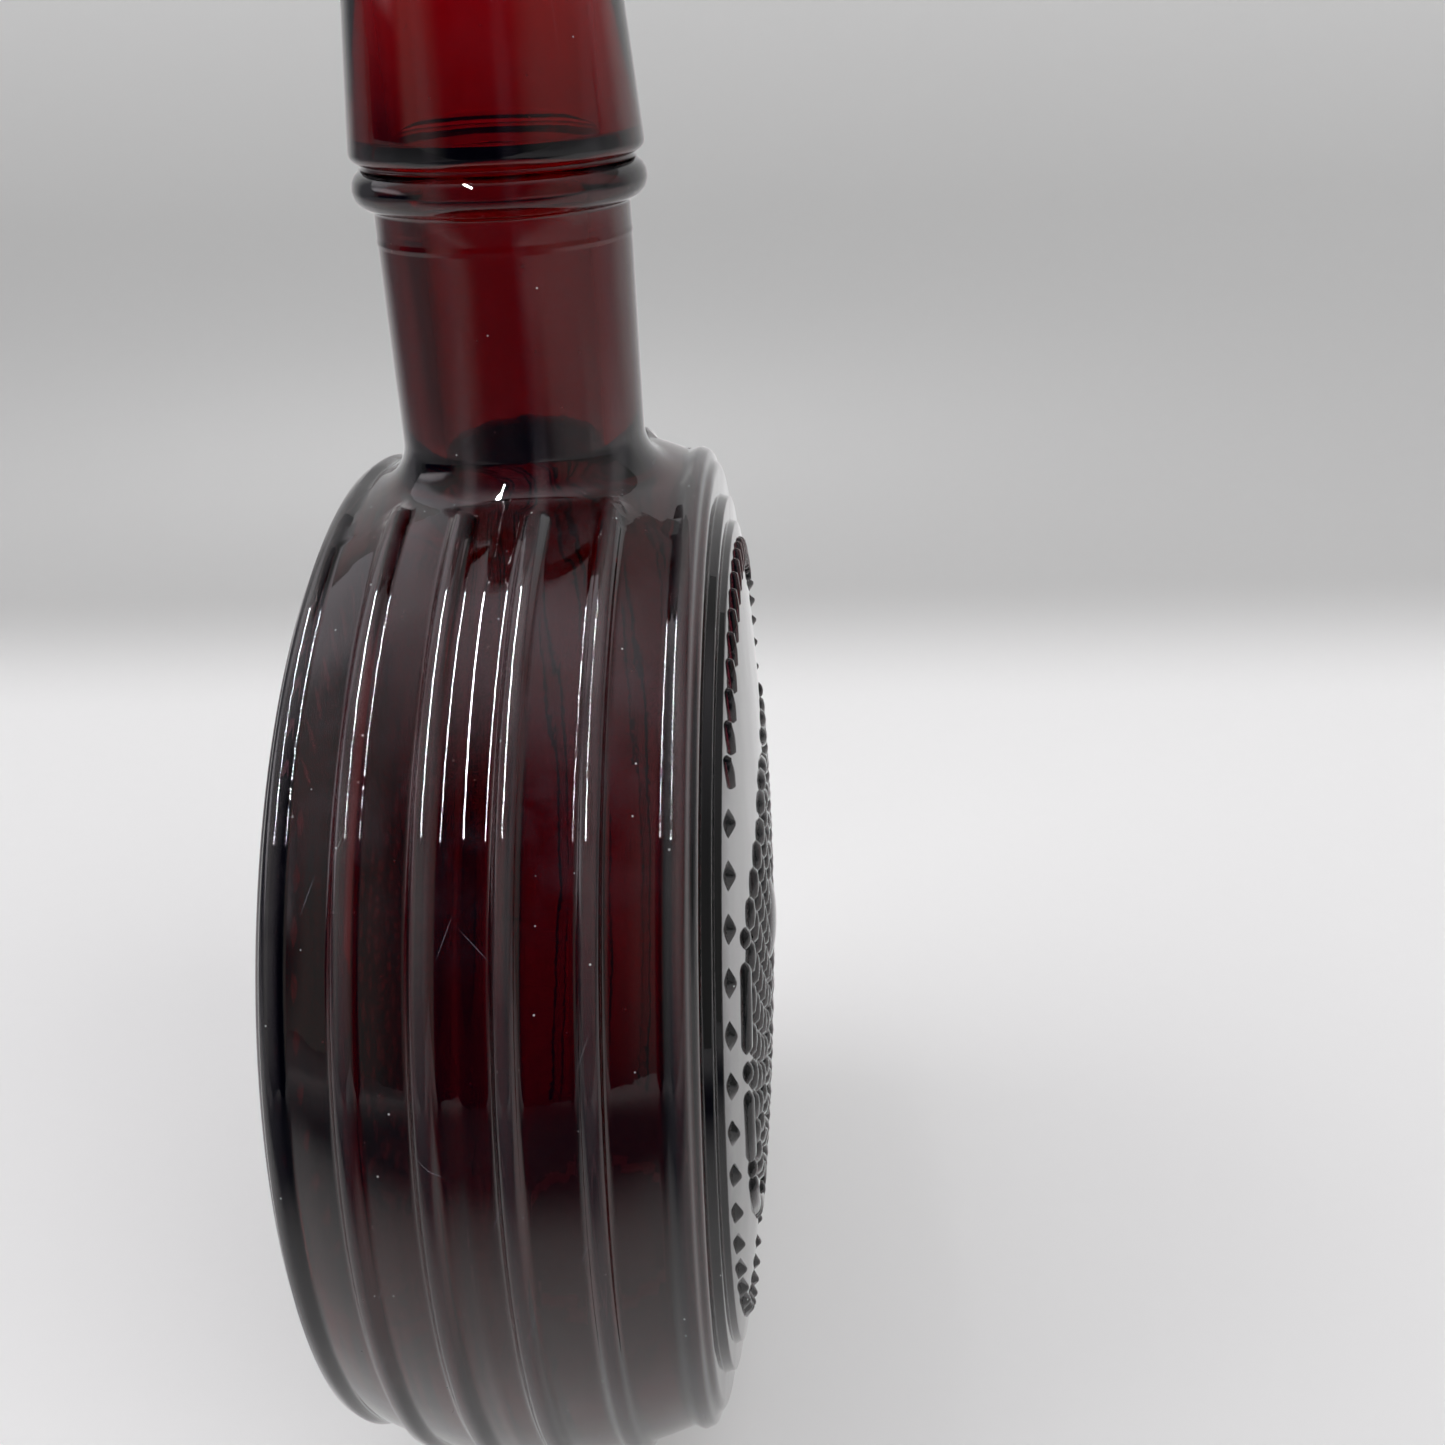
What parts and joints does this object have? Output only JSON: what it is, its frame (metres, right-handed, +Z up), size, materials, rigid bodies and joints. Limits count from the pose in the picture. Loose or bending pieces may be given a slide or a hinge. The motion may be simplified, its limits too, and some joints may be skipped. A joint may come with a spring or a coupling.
{
  "type": "glass oil bottle",
  "caption": "Round upright ruby glass bottle with a ribbed barrel rim, stepped and domed faces in relief, and a straight neck with a tapered collar over a ring, closed by a cork.",
  "frame": {"origin": "centre of the flat base, on the surface that the bottle stands on", "axes": "+Z up along the neck, X along the axis of the disc-shaped body from face to face, -Y towards the viewer of the picture"},
  "size_m": [0.0528, 0.1268, 0.183],
  "materials": {
    "ruby_glass": "gloss",
    "cork": "matt natural cork"
  },
  "bodies": {
    "bottle": {"bottle_glass": "ruby_glass"},
    "stopper": {"cork_stopper": "cork"}
  },
  "joints": [
    {"name": "stopper_lift", "type": "slide", "parent": "bottle", "child": "stopper", "axis": [0, 0, 1], "range_m": [0, 0.04]}
  ]
}
